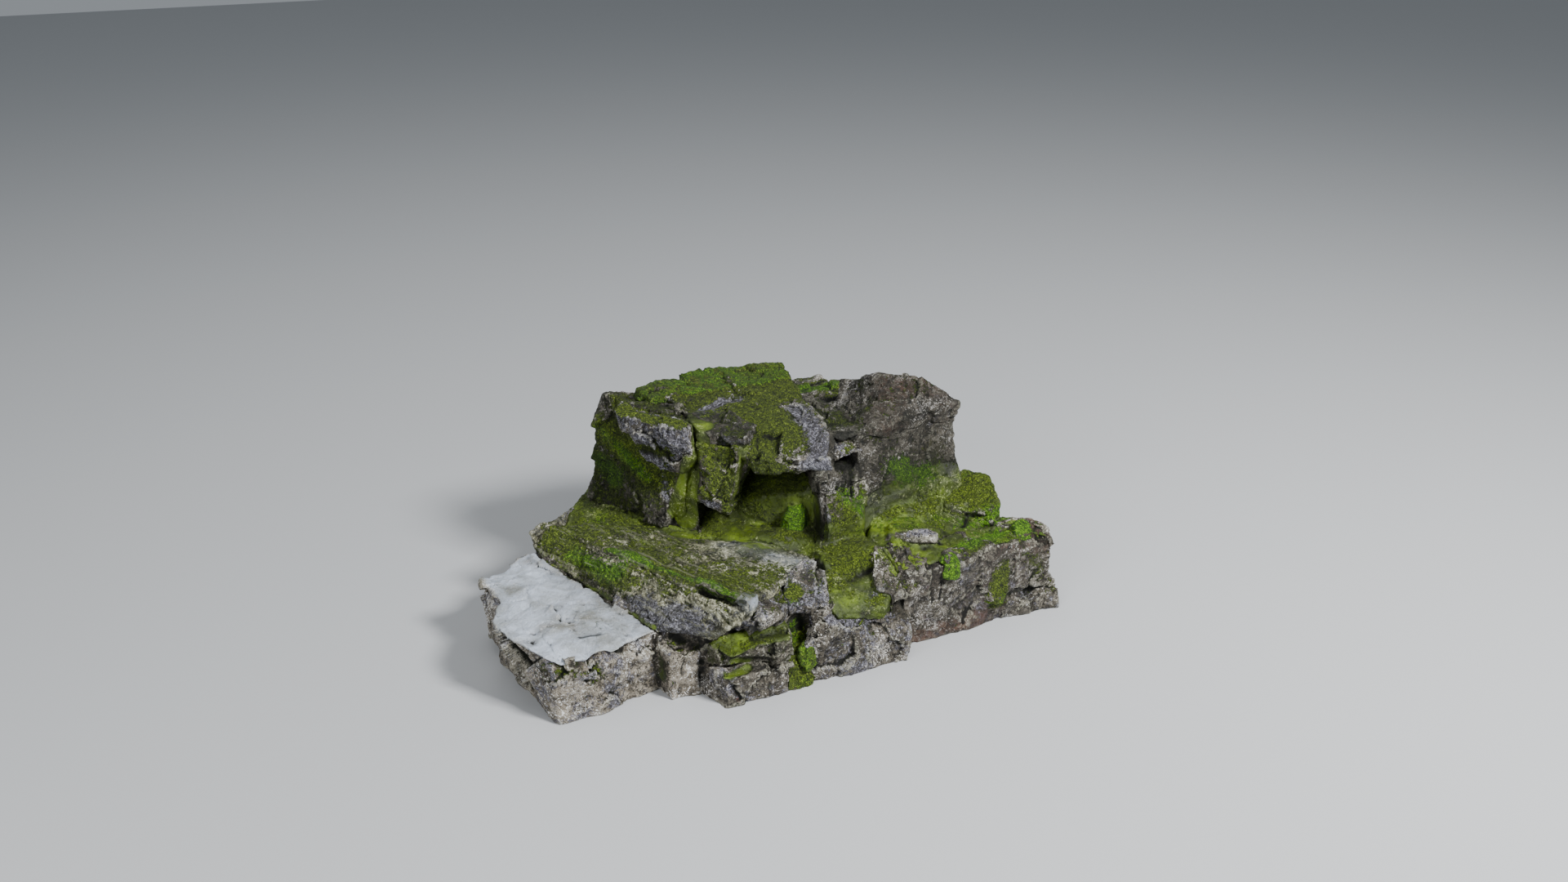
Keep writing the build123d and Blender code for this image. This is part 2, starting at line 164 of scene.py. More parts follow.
def field_group(fused):
    """A geometry node group that stores every noise field on the mesh it is given, and the
    nearest point and the normal of the fused skin."""
    group = bpy.data.node_groups.new("noise_fields", "GeometryNodeTree")
    group.interface.new_socket("Geometry", in_out="INPUT", socket_type="NodeSocketGeometry")
    group.interface.new_socket("Geometry", in_out="OUTPUT", socket_type="NodeSocketGeometry")
    nodes = Nodes(group)
    position = nodes.add("GeometryNodeInputPosition").outputs[0]
    carried = nodes.add("NodeGroupInput").outputs[0]

    def store(name, value, kind):
        nonlocal carried
        node = nodes.add("GeometryNodeStoreNamedAttribute", data_type=kind, domain="POINT")
        node.inputs["Name"].default_value = name
        group.links.new(carried, node.inputs["Geometry"])
        group.links.new(value, node.inputs["Value"])
        carried = node.outputs[0]

    def noise(vector, scale, detail, roughness, seed):
        return nodes.add("ShaderNodeTexNoise", {"Vector": vector, "W": seed, "Scale": scale,
                         "Detail": detail, "Roughness": roughness}, noise_dimensions="4D").outputs

    for name, (size, detail, roughness, seed) in NOISES.items():
        store(name, noise(position, 1 / (size * MM), detail, roughness, seed)["Fac"], "FLOAT")
    for name, (turn, tilt, sizes, detail) in LAYERS.items():
        layered = stretched(nodes, position, turn, tilt, sizes)
        store(name, noise(layered, 1.0, detail, 0.6, LAYER_SEED)["Fac"], "FLOAT")

    warp = noise(position, 1 / (WARP_SIZE * MM), 2, 0.4, WARP_SEED)
    store("warp", warp["Color"], "FLOAT_VECTOR")
    shift = noise(position, 1 / (RAGGED_SIZE * MM), 3, 0.6, RAGGED_SEED)["Color"]
    shift = nodes.vector("MULTIPLY", shift, [RAGGED_REACH * MM] * 3)
    ragged = nodes.vector("ADD", position, shift)

    def cells(place, size, feature):
        return nodes.add("ShaderNodeTexVoronoi", {"Vector": place, "Scale": 1 / (size * MM)},
                         feature=feature).outputs

    for name, size in CELLS.items():
        found = cells(ragged, size, "F1")
        store(name + "_centre", found["Position"], "FLOAT_VECTOR")
        store(name + "_random", found["Color"], "FLOAT_VECTOR")
    store("crack", cells(ragged, CRACK_SIZE, "DISTANCE_TO_EDGE")["Distance"], "FLOAT")
    store("clump", cells(position, CLUMP_SIZE, "F1")["Distance"], "FLOAT")

    whole = nodes.add("GeometryNodeObjectInfo", {"Object": fused}).outputs["Geometry"]
    nearest = nodes.add("GeometryNodeProximity", {0: whole, "Sample Position": position},
                        target_element="FACES")
    store("fused_point", nearest.outputs["Position"], "FLOAT_VECTOR")
    sampled = nodes.add("GeometryNodeSampleNearestSurface",
                        {"Mesh": whole, "Sample Position": position}, data_type="FLOAT_VECTOR")
    group.links.new(nodes.add("GeometryNodeInputNormal").outputs[0], sampled.inputs["Value"])
    store("fused_normal", sampled.outputs["Value"], "FLOAT_VECTOR")
    group.links.new(carried, nodes.add("NodeGroupOutput").inputs[0])
    return group


# --- Skins ------------------------------------------------------------------
def skin(node, voxel, rounding):
    """A copy of the CAD solid as an even mesh with softened edges and stored fields."""
    piece = bpy.data.objects.new(node + "_casting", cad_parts[node].data.copy())
    bpy.context.scene.collection.objects.link(piece)
    solid = welded(piece.data)
    solid.to_mesh(piece.data)
    solid.free()
    even_out(piece, voxel, rounding)
    fields = piece.modifiers.new("fields", "NODES")
    fields.node_group = FIELD_GROUP
    bpy.context.view_layer.update()
    graph = bpy.context.evaluated_depsgraph_get()
    made = bpy.data.meshes.new_from_object(piece.evaluated_get(graph), depsgraph=graph)
    piece.modifiers.clear()
    piece.data = made
    made.materials.clear()
    return piece


def read(mesh, name, width=1):
    """A named attribute, the positions ("co") or the normals ("normal") of a mesh as a numpy
    array, with width numbers for each vertex."""
    values = np.empty(len(mesh.vertices) * width, np.float32)
    if name == "co":
        mesh.vertices.foreach_get("co", values)
    elif name == "normal":
        mesh.vertex_normals.foreach_get("vector", values)
    else:
        mesh.attributes[name].data.foreach_get("value" if width == 1 else "vector", values)
    values = values.astype(np.float64)
    return values.reshape(-1, width) if width > 1 else values


def ramp(values, low, high):
    """0 below low, 1 above high, and a smooth rise between."""
    t = np.clip((values - low) / (high - low), 0, 1)
    return t * t * (3 - 2 * t)


class Smoother:
    """Averages a value over each vertex's neighbours."""

    def __init__(self, mesh):
        edges = np.empty(len(mesh.edges) * 2, np.int32)
        mesh.edges.foreach_get("vertices", edges)
        self.a, self.b = edges.reshape(-1, 2).T
        self.count = len(mesh.vertices)
        self.degree = np.maximum(np.bincount(edges, minlength=self.count), 1)

    def step(self, values):
        total = np.bincount(self.a, values[self.b], self.count)
        total += np.bincount(self.b, values[self.a], self.count)
        return total / self.degree

    def blur(self, values, times):
        for _ in range(times):
            values = 0.5 * values + 0.5 * self.step(values)
        return values


def facets(mesh, points, name, tilt, step):
    """Broken faces: each cell gets a plane of its own, tilted and raised (step, mm) at random."""
    random = read(mesh, name + "_random", 3) - 0.5
    offset = points - read(mesh, name + "_centre", 3)
    return (offset * random).sum(1) * tilt + random[:, 0] * step * MM


def near(points, start, end, reach):
    """1 on the line from start to end, a fifth at reach (mm) from it and 0 at twice that."""
    reach = reach * MM
    low, high = np.minimum(start, end) - 2 * reach, np.maximum(start, end) + 2 * reach
    close = np.flatnonzero(((points > low) & (points < high)).all(1))
    share = np.zeros(len(points))
    along = end - start
    offset = points[close] - start
    place = np.clip(offset @ along / max(along @ along, WELD ** 2), 0, 1)
    gap = np.linalg.norm(offset - place[:, None] * along, axis=1)
    share[close] = np.exp(-STROKE_FALL * (gap / reach) ** 2)
    return share


def at(node, place):
    """A point in a CAD node's box, given as a share of each side."""
    low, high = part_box(node)
    return np.array([low[k] + (high[k] - low[k]) * place[k] for k in range(3)])


# --- How each casting is broken and what grows on it ---------------------------
# How it is made: voxel: width of a face in mm; rounding: smoothing steps on its edges.
# Shape, in mm: swell: how far it grows; warp: how far it bends; lump, block, knob, grit: noise,
# coarse to fine; bed, grain, streak: flat, lengthwise and upright layers; crack, vein: how deep
# they cut. Shape, as a share: chip, spall: tilt of the large and the small broken faces; join:
# how far it merges into its neighbours.
# Growth, 0 to 1: moss, lichen, slick (olive film), rust, calm (smooth pale stone): how much of
# each;
# shade: painted shade, in hollows, crevices, under overhangs, on faces turned from the light and
# over the whole of some darker stones; fresh: how much of the moss is bright green; up: how much
# more moss is on upward faces.
# Look: slot: the material's name in the part; paint: a name in PAINT_COLOURS.
PLAIN = dict(voxel=1.0, rounding=1, swell=0.5, join=1.0, warp=10.0, lump=1.4, block=0.6,
             knob=0.2, grit=0.3, chip=0.26, spall=0.1, bed=0.0, grain=0.0, streak=0.0, crack=0.8,
             vein=0.7, moss=0.2, up=0.25, fresh=0.1, lichen=0.2, slick=0.0, shade=0.0, rust=0.0,
             calm=0.0, slot="rock_casting", paint="rock")


def recipe(**changes):
    return {**PLAIN, **changes}


CASTINGS = {
    "grey_slab": recipe(voxel=0.8, warp=6.0, slot="pale_slab", paint="pale", lump=0.8, block=2.0,
                        moss=0.12, up=0.0, join=0.0, lichen=0.4, chip=0.5, calm=1.0, vein=0.3),
    "wedge_stone": recipe(voxel=0.8, paint="pale", moss=0.15, lichen=0.3, streak=0.6, join=0.3,
                          vein=0.3),
    "front_base": recipe(voxel=1.6),
    "right_base": recipe(voxel=1.1, bed=0.5, moss=0.0, up=0.3, lichen=0.3, rust=0.4, shade=0.28),
    "ramp_slab": recipe(voxel=0.9, slot="ramp_rock", paint="ramp", lump=0.8, block=0.8, grain=0.9,
                        moss=0.22, up=0.3, lichen=0.3, slick=0.25, chip=0.05, spall=0.05),
    "ramp_lamina": recipe(voxel=0.8, slot="ramp_rock", paint="ramp", lump=0.8, block=0.8, grain=0.7,
                          moss=0.5, up=0.15, lichen=0.1, slick=0.3, chip=0.05, spall=0.05, join=0.0,
                          shade=0.15),
    "left_shard": recipe(voxel=0.8, paint="ramp", moss=0.2, lichen=0.5, chip=0.42, join=0.0),
    "cave_floor": recipe(voxel=1.2, slot="mossy_rock", slick=0.65, moss=0.25, block=0.8, shade=0.1),
    "apron_stone": recipe(voxel=0.8, slot="mossy_rock", slick=0.6, moss=0.15, lichen=0.3,
                          chip=0.18, spall=0.1),
    "corner_stone": recipe(voxel=0.8, chip=0.35, spall=0.16, bed=0.7, moss=0.05, lichen=0.35,
                           join=0.4),
    "mossy_ledge": recipe(voxel=0.8, slot="mossy_rock", chip=0.28, spall=0.16, bed=0.7, moss=0.25,
                          slick=0.6, join=0.4),
    "tip_chunk": recipe(voxel=0.7, slot="lichen_rock", chip=0.49, spall=0.16, moss=0.25,
                        lichen=0.55, join=0.4),
    "groove_stone": recipe(voxel=0.8, slot="mossy_rock", moss=0.9, fresh=0.5, chip=0.28),
    "front_rock": recipe(voxel=0.8, chip=0.35, spall=0.16, moss=0.06, up=0.3, lichen=0.45),
    "low_rock": recipe(voxel=0.8, chip=0.31, spall=0.16, moss=0.0, up=0.2, lichen=0.42),
    "leaning_stone": recipe(voxel=0.8, chip=0.35, moss=0.1, lichen=0.3, rust=0.35, slick=0.25,
                            shade=0.15),
    "edge_boulder": recipe(voxel=0.7, slot="lichen_rock", chip=0.35, moss=0.15, lichen=0.6,
                           join=0.6),
    "foot_stone": recipe(voxel=0.9, chip=0.35, bed=0.5, moss=0.05, lichen=0.35, join=0.4,
                         shade=0.1),
    "terrace_plate": recipe(voxel=0.8, slot="mossy_rock", slick=0.75, moss=0.32, up=0.1, block=0.9,
                            lichen=0.2, fresh=0.35),
    "step_block": recipe(voxel=0.7, slot="mossy_rock", slick=0.6, moss=0.1, lichen=0.35, chip=0.42,
                         fresh=0.3),
    "end_stone": recipe(voxel=0.8, slot="mossy_rock", moss=0.2, chip=0.35, lichen=0.3, rust=0.3,
                        fresh=0.3),
    "front_shoulder": recipe(voxel=0.8, slot="mossy_rock", moss=0.5, slick=0.5, chip=0.28,
                             fresh=0.2),
    "rear_shoulder": recipe(voxel=1.0, slot="mossy_rock", moss=0.5, slick=0.4, swell=0.0),
    "pillar": recipe(voxel=1.0, slot="mossy_rock", streak=0.7, moss=0.5, up=0.2, shade=0.6,
                     lichen=0.1),
    "crest_stone": recipe(voxel=0.8, slot="mossy_rock", streak=0.5, moss=0.6, lichen=0.3, join=0.5),
    "tower": recipe(voxel=1.0, streak=0.3, moss=0.2, lichen=0.15, rust=0.3, lump=2.0, slick=0.2,
                    chip=0.2, shade=0.62),
    "tower_crown": recipe(voxel=0.9, moss=0.1, lichen=0.2, rust=0.4, lump=2.0, chip=0.2, shade=0.6),
    "pocket_ledge": recipe(voxel=0.7, moss=0.2, lichen=0.5, join=0.0),
    "jamb_boulder": recipe(voxel=0.8, moss=0.4, lichen=0.35, slot="mossy_rock", join=0.6, fresh=0.4,
                           slick=0.3, shade=0.15),
    "tower_ledge": recipe(voxel=0.8, chip=0.42, moss=0.3, lichen=0.4, slick=0.5, slot="mossy_rock"),
    "tower_key": recipe(voxel=0.7, chip=0.35, moss=0.1, lichen=0.5, shade=0.1),
    "rear_left_stone": recipe(voxel=1.3, bed=0.8, moss=0.25, swell=0.0, shade=0.2),
    "rear_right_stone": recipe(voxel=1.3, bed=0.8, moss=0.25, lump=2.4, shade=0.2),
    "inner_boulder": recipe(voxel=1.0, moss=0.4, slick=0.8, shade=0.1, slot="mossy_rock"),
    "roof_boulder": recipe(voxel=0.8, slot="mossy_rock", lump=2.2, block=1.2, moss=0.85, up=0.0,
                           lichen=0.35, streak=0.3, shade=0.3),
    "lintel_stone": recipe(voxel=0.7, slot="lichen_rock", bed=0.8, moss=0.35, lichen=0.45, join=0.5,
                           shade=0.7),
    "hanging_stone": recipe(voxel=0.8, slot="mossy_rock", moss=0.8, lichen=0.25, join=0.0,
                            shade=0.12),
    "nose_boulder": recipe(voxel=0.7, slot="lichen_rock", chip=0.28, streak=0.9, moss=0.15,
                           lichen=0.7, join=0.3, shade=0.1),
    "cap_stone": recipe(voxel=0.8, slot="moss_mat", paint="moss", moss=1.0, fresh=0.5, lump=1.2,
                        block=1.1, shade=0.3),
}
CUSHIONS = ("groove_moss", "cave_moss", "end_moss", "rim_moss", "face_moss")
for cushion in CUSHIONS:
    CASTINGS[cushion] = recipe(voxel=0.6, rounding=8, join=0.5, slot="moss_flock", paint="moss",
                               moss=1.0, fresh=0.7, lump=0.5, block=1.2, knob=1.0, chip=0.05,
                               spall=0.05, crack=0.0, vein=0.0)

STROKE_FALL = 1.6       # how fast a stroke fades beside its line
# Strokes that shape the castings: (node, start, end, reach in mm, depth in mm; minus cuts in).
# A place is a share of each side of the node's box. A stroke shapes every casting that its line
# comes near, not only the node that it is placed by.
SHAPES = [
    ("ramp_slab", (0.30, 0.85, 0.6), (0.85, 0.45, 0.6), 13, 2.0),        # swell along the ramp
    ("pillar", (0.19, 0.71, 0.74), (0.50, 0.33, 0.40), 5, 2.5),          # diagonal crest
    ("grey_slab", (0.32, 0.04, 1.0), (0.45, 0.03, 0.97), 6, -5.5),       # broken front edge
    ("grey_slab", (0.66, 0.03, 0.97), (0.75, 0.03, 0.94), 5, -4.5),
    ("grey_slab", (0.86, 0.04, 0.92), (0.87, 0.04, 0.88), 3, -3.0),
    ("grey_slab", (0.49, 0.17, 1.0), (0.63, 0.15, 1.0), 1.2, -0.6),      # twig-like crack
    ("grey_slab", (0.0, 0.62, 0.8), (0.12, 0.64, 0.9), 6, -4.0),         # notch in the left side
    ("ramp_lamina", (0.61, 0.24, 0.78), (0.81, 0.03, 0.82), 3.4, -5.0),  # crevice under the lamina
    ("tip_chunk", (0.10, 0.02, 0.0), (0.80, 0.0, 0.0), 4, -4.5),         # hollow under the tip
    ("mossy_ledge", (0.15, 0.2, 0.42), (0.62, 0.1, 0.3), 4, -5.0),       # hollow under the ledge
    ("apron_stone", (0.45, 0.40, 0.8), (0.72, 0.48, 0.8), 3.5, -3.5),    # hollow in the apron
    ("step_block", (0.45, 0.0, 0.0), (0.80, 0.1, 0.0), 3, -3.0),         # pocket beside the step
    ("tower_ledge", (0.88, 0.7, 0.6), (1.0, 0.8, 0.6), 2.5, -3.0),
    ("terrace_plate", (0.58, 0.50, 0.55), (0.67, 0.60, 0.55), 2.5, -3.0),
    ("tower", (0.36, 0.90, 0.98), (0.50, 0.90, 0.98), 6, -5.0),          # hollow by the roof
    ("step_block", (0.10, 0.5, 1.0), (0.70, 0.2, 1.0), 4, 2.0),          # raised step
    ("nose_boulder", (0.25, 0.45, 0.42), (0.60, 0.22, 0.40), 2.5, -2.5),
    ("leaning_stone", (0.45, 0.0, 0.1), (0.52, 0.1, 0.5), 2.5, -3.0),
    ("edge_boulder", (0.0, 0.5, 0.8), (0.0, 0.4, 0.3), 5, 2.0),          # closes on the ramp
]
# Strokes that paint the castings: (node, start, end, then (mask, reach in mm, how much is added)
# for each mask that it changes).
# A shade stroke paints shade into a hollow or crevice, under an overhang or on a face turned from
# the light; a minus amount takes painted shade away.
PAINTS = [
    # grey slab and ramp
    ("grey_slab", (0.49, 0.17, 1.0), (0.63, 0.15, 1.0), ("shade", 1.3, 1.0)),
    ("grey_slab", (1.0, 0.10, 1.0), (0.60, 0.88, 1.0), ("slick", 3, 0.6), ("calm", 5, -0.4)),
    ("grey_slab", (0.35, 0.0, 0.85), (0.50, 0.0, 0.70), ("moss", 8, 0.4)),
    ("grey_slab", (0.40, 0.0, 0.40), (0.70, 0.0, 0.75), ("moss", 6, 0.22)),
    ("grey_slab", (0.97, 0.02, 0.6), (0.97, 0.02, 0.3), ("slick", 6, 0.7)),
    ("ramp_slab", (0.10, 0.93, 0.8), (0.35, 0.85, 0.8), ("moss", 14, 0.3)),
    ("ramp_slab", (0.02, 0.75, 0.3), (0.25, 0.20, 0.3), ("moss", 10, -0.35), ("slick", 9, -0.4)),
    ("ramp_slab", (0.02, 0.75, 0.3), (0.30, 0.15, 0.3), ("lichen", 9, 0.25)),
    ("ramp_slab", (0.02, 0.75, 0.2), (0.42, 0.04, 0.2), ("shade", 9, 0.35)),
    ("ramp_slab", (0.10, 0.80, 0.5), (0.25, 0.55, 0.5), ("fresh", 9, 0.7)),
    ("ramp_slab", (0.10, 0.80, 0.4), (0.22, 0.50, 0.4), ("moss", 7, 0.6)),
    ("ramp_slab", (0.70, 0.55, 0.6), (0.88, 0.30, 0.6), ("moss", 14, -0.4), ("lichen", 14, -0.3)),
    ("ramp_slab", (0.74, 0.50, 0.6), (0.88, 0.30, 0.6), ("calm", 14, 0.35)),
    ("ramp_slab", (0.22, 0.30, 0.3), (0.40, 0.06, 0.4), ("lichen", 9, 0.4), ("moss", 10, -0.4)),
    ("ramp_lamina", (0.20, 0.75, 0.5), (0.80, 0.10, 1.0), ("moss", 2.5, 0.8), ("fresh", 3.5, 0.9)),
    ("ramp_lamina", (0.61, 0.24, 0.78), (0.81, 0.03, 0.82), ("shade", 2.6, 1.0)),
    ("ramp_lamina", (0.85, 0.05, 0.9), (1.0, 0.07, 0.6), ("calm", 5, 1.2), ("lichen", 5, -0.6)),
    ("ramp_lamina", (0.75, 0.0, 0.6), (1.0, 0.05, 0.4), ("moss", 6, -1.0)),
    # front corner
    ("tip_chunk", (0.10, 0.02, 0.0), (0.80, 0.0, 0.0), ("shade", 3.5, 1.0)),
    ("mossy_ledge", (0.15, 0.2, 0.42), (0.62, 0.1, 0.3), ("shade", 4, 1.0)),
    ("corner_stone", (0.20, 0.2, 0.95), (0.45, 0.3, 0.95), ("slick", 5, 0.8)),
    ("corner_stone", (0.27, 0.03, 0.16), (0.29, 0.03, 0.14), ("rust", 1.6, 1.5)),
    ("edge_boulder", (0.10, 0.2, 0.9), (0.16, 0.4, 0.2), ("moss", 5, 1.0)),
    ("edge_boulder", (0.10, 0.2, 0.2), (0.10, 0.4, -0.6), ("fresh", 6, 0.7)),
    ("groove_stone", (0.5, 0.9, 1.0), (0.6, 0.5, 0.3), ("moss", 7, 0.9)),
    ("apron_stone", (0.45, 0.12, 0.3), (0.60, 0.18, 0.4), ("lichen", 4, 1.0), ("slick", 4, -1.0)),
    ("apron_stone", (0.45, 0.40, 0.8), (0.72, 0.48, 0.8), ("shade", 3, 1.0)),
    ("apron_stone", (0.40, 0.55, 1.0), (0.75, 0.60, 1.0), ("moss", 5, 0.6)),
    ("front_rock", (0.25, 0.2, 0.95), (0.80, 0.3, 0.7), ("lichen", 4, 0.8)),
    ("front_rock", (0.40, 0.8, 1.0), (0.85, 0.7, 0.9), ("slick", 5, 0.7)),
    ("leaning_stone", (0.45, 0.0, 0.1), (0.52, 0.1, 0.5), ("shade", 2.5, 1.0)),
    # terrace and right side
    ("step_block", (0.45, 0.0, 0.0), (0.80, 0.1, 0.0), ("shade", 3.5, 1.0)),
    ("step_block", (0.0, 0.45, 1.0), (0.70, 0.1, 1.0), ("lichen", 5, 0.5), ("slick", 5, -0.7)),
    ("tower_ledge", (0.30, 0.2, 0.6), (0.70, 0.2, 0.6), ("lichen", 4, 0.6)),
    ("tower_ledge", (0.88, 0.7, 0.6), (1.0, 0.8, 0.6), ("shade", 2.5, 1.0)),
    ("terrace_plate", (0.58, 0.50, 0.55), (0.67, 0.60, 0.55), ("shade", 2.5, 1.0)),
    ("terrace_plate", (0.60, 0.50, 0.58), (0.85, 0.50, 0.58),
     ("moss", 9, 0.35), ("fresh", 10, 0.5)),
    ("terrace_plate", (0.50, 0.10, 0.3), (0.72, 0.15, 0.3), ("moss", 7, 0.5)),
    ("terrace_plate", (0.50, 0.15, 0.3), (0.72, 0.30, 0.4), ("fresh", 8, 0.8)),
    ("end_stone", (0.7, 0.3, 0.8), (1.0, 0.5, 0.8), ("rust", 6, 0.6)),
    ("right_base", (0.02, 0.0, 0.03), (0.55, 0.0, 0.03), ("rust", 9, 0.7)),
    ("right_base", (0.71, 0.02, 0.70), (0.66, 0.02, 0.30), ("moss", 8, 1.0)),
    ("face_moss", (0.5, 0.5, 0.9), (0.5, 0.5, 0.1), ("fresh", 9, -0.6)),
    ("right_base", (0.85, 0.02, 0.9), (0.95, 0.0, 0.5), ("moss", 8, 0.35)),
    # pillar, nose and hanging stone
    ("pillar", (0.10, 0.65, 0.45), (0.25, 0.55, 0.30), ("moss", 8, 0.6), ("fresh", 9, 0.6)),
    ("crest_stone", (0.05, 0.8, 0.95), (0.60, 0.2, 0.25), ("moss", 7, 0.4), ("shade", 7, -0.5)),
    ("pillar", (0.19, 0.71, 0.74), (0.50, 0.33, 0.40),
     ("moss", 6, 0.9), ("fresh", 6, 0.4), ("shade", 6, -1.0)),
    ("crest_stone", (0.50, 0.22, 0.40), (0.68, 0.15, 0.15), ("lichen", 4, 0.9), ("moss", 4, -0.6)),
    ("pillar", (0.92, 0.05, 0.95), (0.70, 0.05, 0.05),
     ("slick", 9, 1.2), ("moss", 9, -1.0), ("lichen", 9, -1.0), ("shade", 9, -1.0)),
    ("crest_stone", (0.85, 0.0, 0.40), (0.72, 0.08, 0.12),
     ("slick", 6, 1.2), ("moss", 6, -1.0), ("lichen", 6, -1.0), ("shade", 6, -1.0)),
    ("nose_boulder", (0.10, 0.80, 1.0), (0.80, 0.15, 1.0), ("moss", 5, 0.9)),
    ("nose_boulder", (0.20, 0.50, 0.42), (0.60, 0.22, 0.40), ("moss", 3.5, 0.9)),
    ("nose_boulder", (0.25, 0.45, 0.35), (0.60, 0.22, 0.33), ("shade", 2, 0.9)),
    ("nose_boulder", (1.0, 0.15, 0.9), (0.85, 0.05, 0.05), ("slick", 4, 1.2), ("lichen", 4, -1.0)),
    ("lintel_stone", (0.05, 0.85, 1.0), (0.02, 0.35, 0.2), ("slick", 5, 1.2), ("lichen", 5, -1.0)),
    ("hanging_stone", (0.74, 0.10, 0.95), (0.62, 0.10, 0.05),
     ("slick", 4.5, 1.3), ("moss", 4.5, -1.0)),
    ("hanging_stone", (0.12, 0.48, 0.06), (0.30, 0.36, 0.06),
     ("lichen", 4, 1.0), ("moss", 4, -1.0)),
    # roof and the hollows beside it
    ("roof_boulder", (0.82, 0.45, 1.0), (0.80, 0.08, 0.45), ("lichen", 9, 0.7), ("moss", 9, -0.75)),
    ("cap_stone", (0.05, 0.10, 0.05), (0.60, 0.02, 0.05), ("shade", 2.5, 0.8)),
    ("roof_boulder", (0.62, 0.06, 0.25), (0.78, 0.03, 0.25),
     ("lichen", 6, 0.6), ("shade", 6, -0.4), ("moss", 6, -1.2)),
    ("roof_boulder", (0.66, 0.05, 0.25), (0.76, 0.03, 0.25), ("calm", 4, 0.7)),
    ("roof_boulder", (0.22, 0.62, 0.85), (0.52, 0.62, 0.88), ("lichen", 5, 0.8), ("moss", 5, -0.7)),
    ("roof_boulder", (0.20, 0.40, 0.5), (0.25, 0.30, 0.1), ("lichen", 5, 0.7), ("moss", 5, -0.6)),
    ("rear_right_stone", (0.45, 0.55, 1.0), (0.66, 0.45, 1.0), ("moss", 7, 0.7), ("fresh", 7, 1.0)),
    ("tower", (0.36, 0.90, 0.98), (0.50, 0.90, 0.98), ("shade", 5, 1.0)),
    ("pocket_ledge", (0.2, 0.3, 1.8), (0.8, 0.3, 1.8), ("shade", 3, 0.7)),
    ("pocket_ledge", (0.2, 0.3, -1.0), (0.8, 0.3, -1.2), ("shade", 4, 1.0)),
    ("step_block", (0.1, 0.0, 0.4), (0.6, 0.0, 0.3), ("shade", 2.5, 0.4)),
    # tower and the right side of the mouth
    ("tower", (0.50, 0.12, 0.62), (0.72, 0.14, 0.45), ("moss", 9, 0.45), ("fresh", 9, 0.7)),
    ("tower", (0.25, 0.04, 0.10), (0.90, 0.12, 0.28), ("slick", 11, 0.9), ("shade", 12, -0.25)),
    ("tower", (0.06, 0.15, 0.10), (0.25, 0.04, 0.10), ("slick", 9, 0.9)),
    ("tower", (0.06, 0.15, 0.10), (0.30, 0.02, 0.10), ("shade", 12, 0.4)),
    ("tower", (0.20, 0.05, 0.26), (0.85, 0.09, 0.34), ("slick", 10, 0.9), ("lichen", 10, -0.6)),
    ("tower_crown", (0.20, 0.3, 0.8), (0.70, 0.3, 0.9), ("rust", 12, 0.3)),
    ("jamb_boulder", (0.10, 0.1, 0.2), (0.80, 0.1, 0.1), ("slick", 7, 0.8)),
    ("jamb_boulder", (0.60, 0.4, 0.8), (0.90, 0.3, 0.5), ("fresh", 6, 0.8)),
    ("jamb_boulder", (0.00, 0.1, 0.9), (0.00, 0.1, 0.1), ("lichen", 3.5, 0.9)),
    ("inner_boulder", (0.20, 0.0, 0.2), (0.90, 0.0, 0.5), ("slick", 12, 0.5)),
    # back of the walk, left bare
    ("cave_floor", (0.05, 1.0, 0.5), (0.95, 1.0, 0.5), ("slick", 16, -0.6), ("moss", 16, -0.2)),
    ("cave_floor", (0.0, 0.7, 0.5), (0.05, 1.0, 0.5), ("slick", 12, -0.4)),
]

MASKS = ("moss", "fresh", "lichen", "slick", "shade", "rust", "calm")
FIELDS = {*NOISES, *LAYERS, "warp", "crack", "clump", "fused_point", "fused_normal",
          *(name + end for name in CELLS for end in ("_centre", "_random"))}
DRAWN = (-0.2, 0.3)         # mm under the fused skin over which a skin starts to be drawn to it
LET_GO = (2.2, 5.0)         # mm, and over which it is let go again
FOOTING = 8.0               # mm above the floor over which warp and depth grow to their full size
FOOT_DEPTH = 0.35           # share of the depth that is left at the floor
GROWN = (0.35, 0.6)         # mask over which film or moss comes to cover the rock
FACING_UP = (0.5, 1.0)      # height of the normal over which a face is calm
FILM_SMOOTHS, CALM_SMOOTHS, MOSS_SMOOTHS = 0.7, 0.85, 0.5   # share of the relief that each hides
BLOCK_LEFT = 0.4            # share of the blocks' depth that film and calm stone never hide
CREST, CREASE = 0.4, 5.0    # height and slope of the ridges in folded noise
BEDS, BED_MEAN = 9.0, 0.6   # how often layers repeat, and what centres them
CELL_STEPS = {"chip": 2.2, "spall": 1.2}    # mm that broken faces are raised for a tilt of 1
CRACK_WIDTH = 0.05          # of the distance between cracks
VEIN_WIDTH = 0.035          # of the range of the noise that veins follow
MOSS_HEIGHT, TUFT_HEIGHT = 0.4, 1.2         # mm
TUFT_MIDDLE = 0.45          # distance from a tuft's middle at which it is neither high nor low
RIM_BLUR, HOLLOW_BLUR = 3, 10               # smoothing steps


def onto_fused(mesh, points, normals, plan):
    """Swells a skin a little, draws what lies just under the fused skin onto it and warps it.
    Gives the points, the normals and how far each point was drawn."""
    points = points + normals * plan["swell"] * MM
    target = read(mesh, "fused_point", 3)
    outward = read(mesh, "fused_normal", 3)
    target = target - outward * FATTEN * MM
    cover = ((target - points) * outward).sum(1) / MM
    hold = (plan["join"] * ramp(cover, *DRAWN) * (1 - ramp(cover, *LET_GO)))[:, None]
    points = points * (1 - hold) + target * hold
    normals = normals * (1 - hold) + outward * hold
    warp = (read(mesh, "warp", 3) - 0.5) * plan["warp"] * MM
    warp[:, 2] *= ramp(points[:, 2] / MM, 0, FOOTING)
    points = points + warp
    lengths = np.maximum(np.linalg.norm(normals, axis=1), WELD)
    return points, normals / lengths[:, None], hold[:, 0]


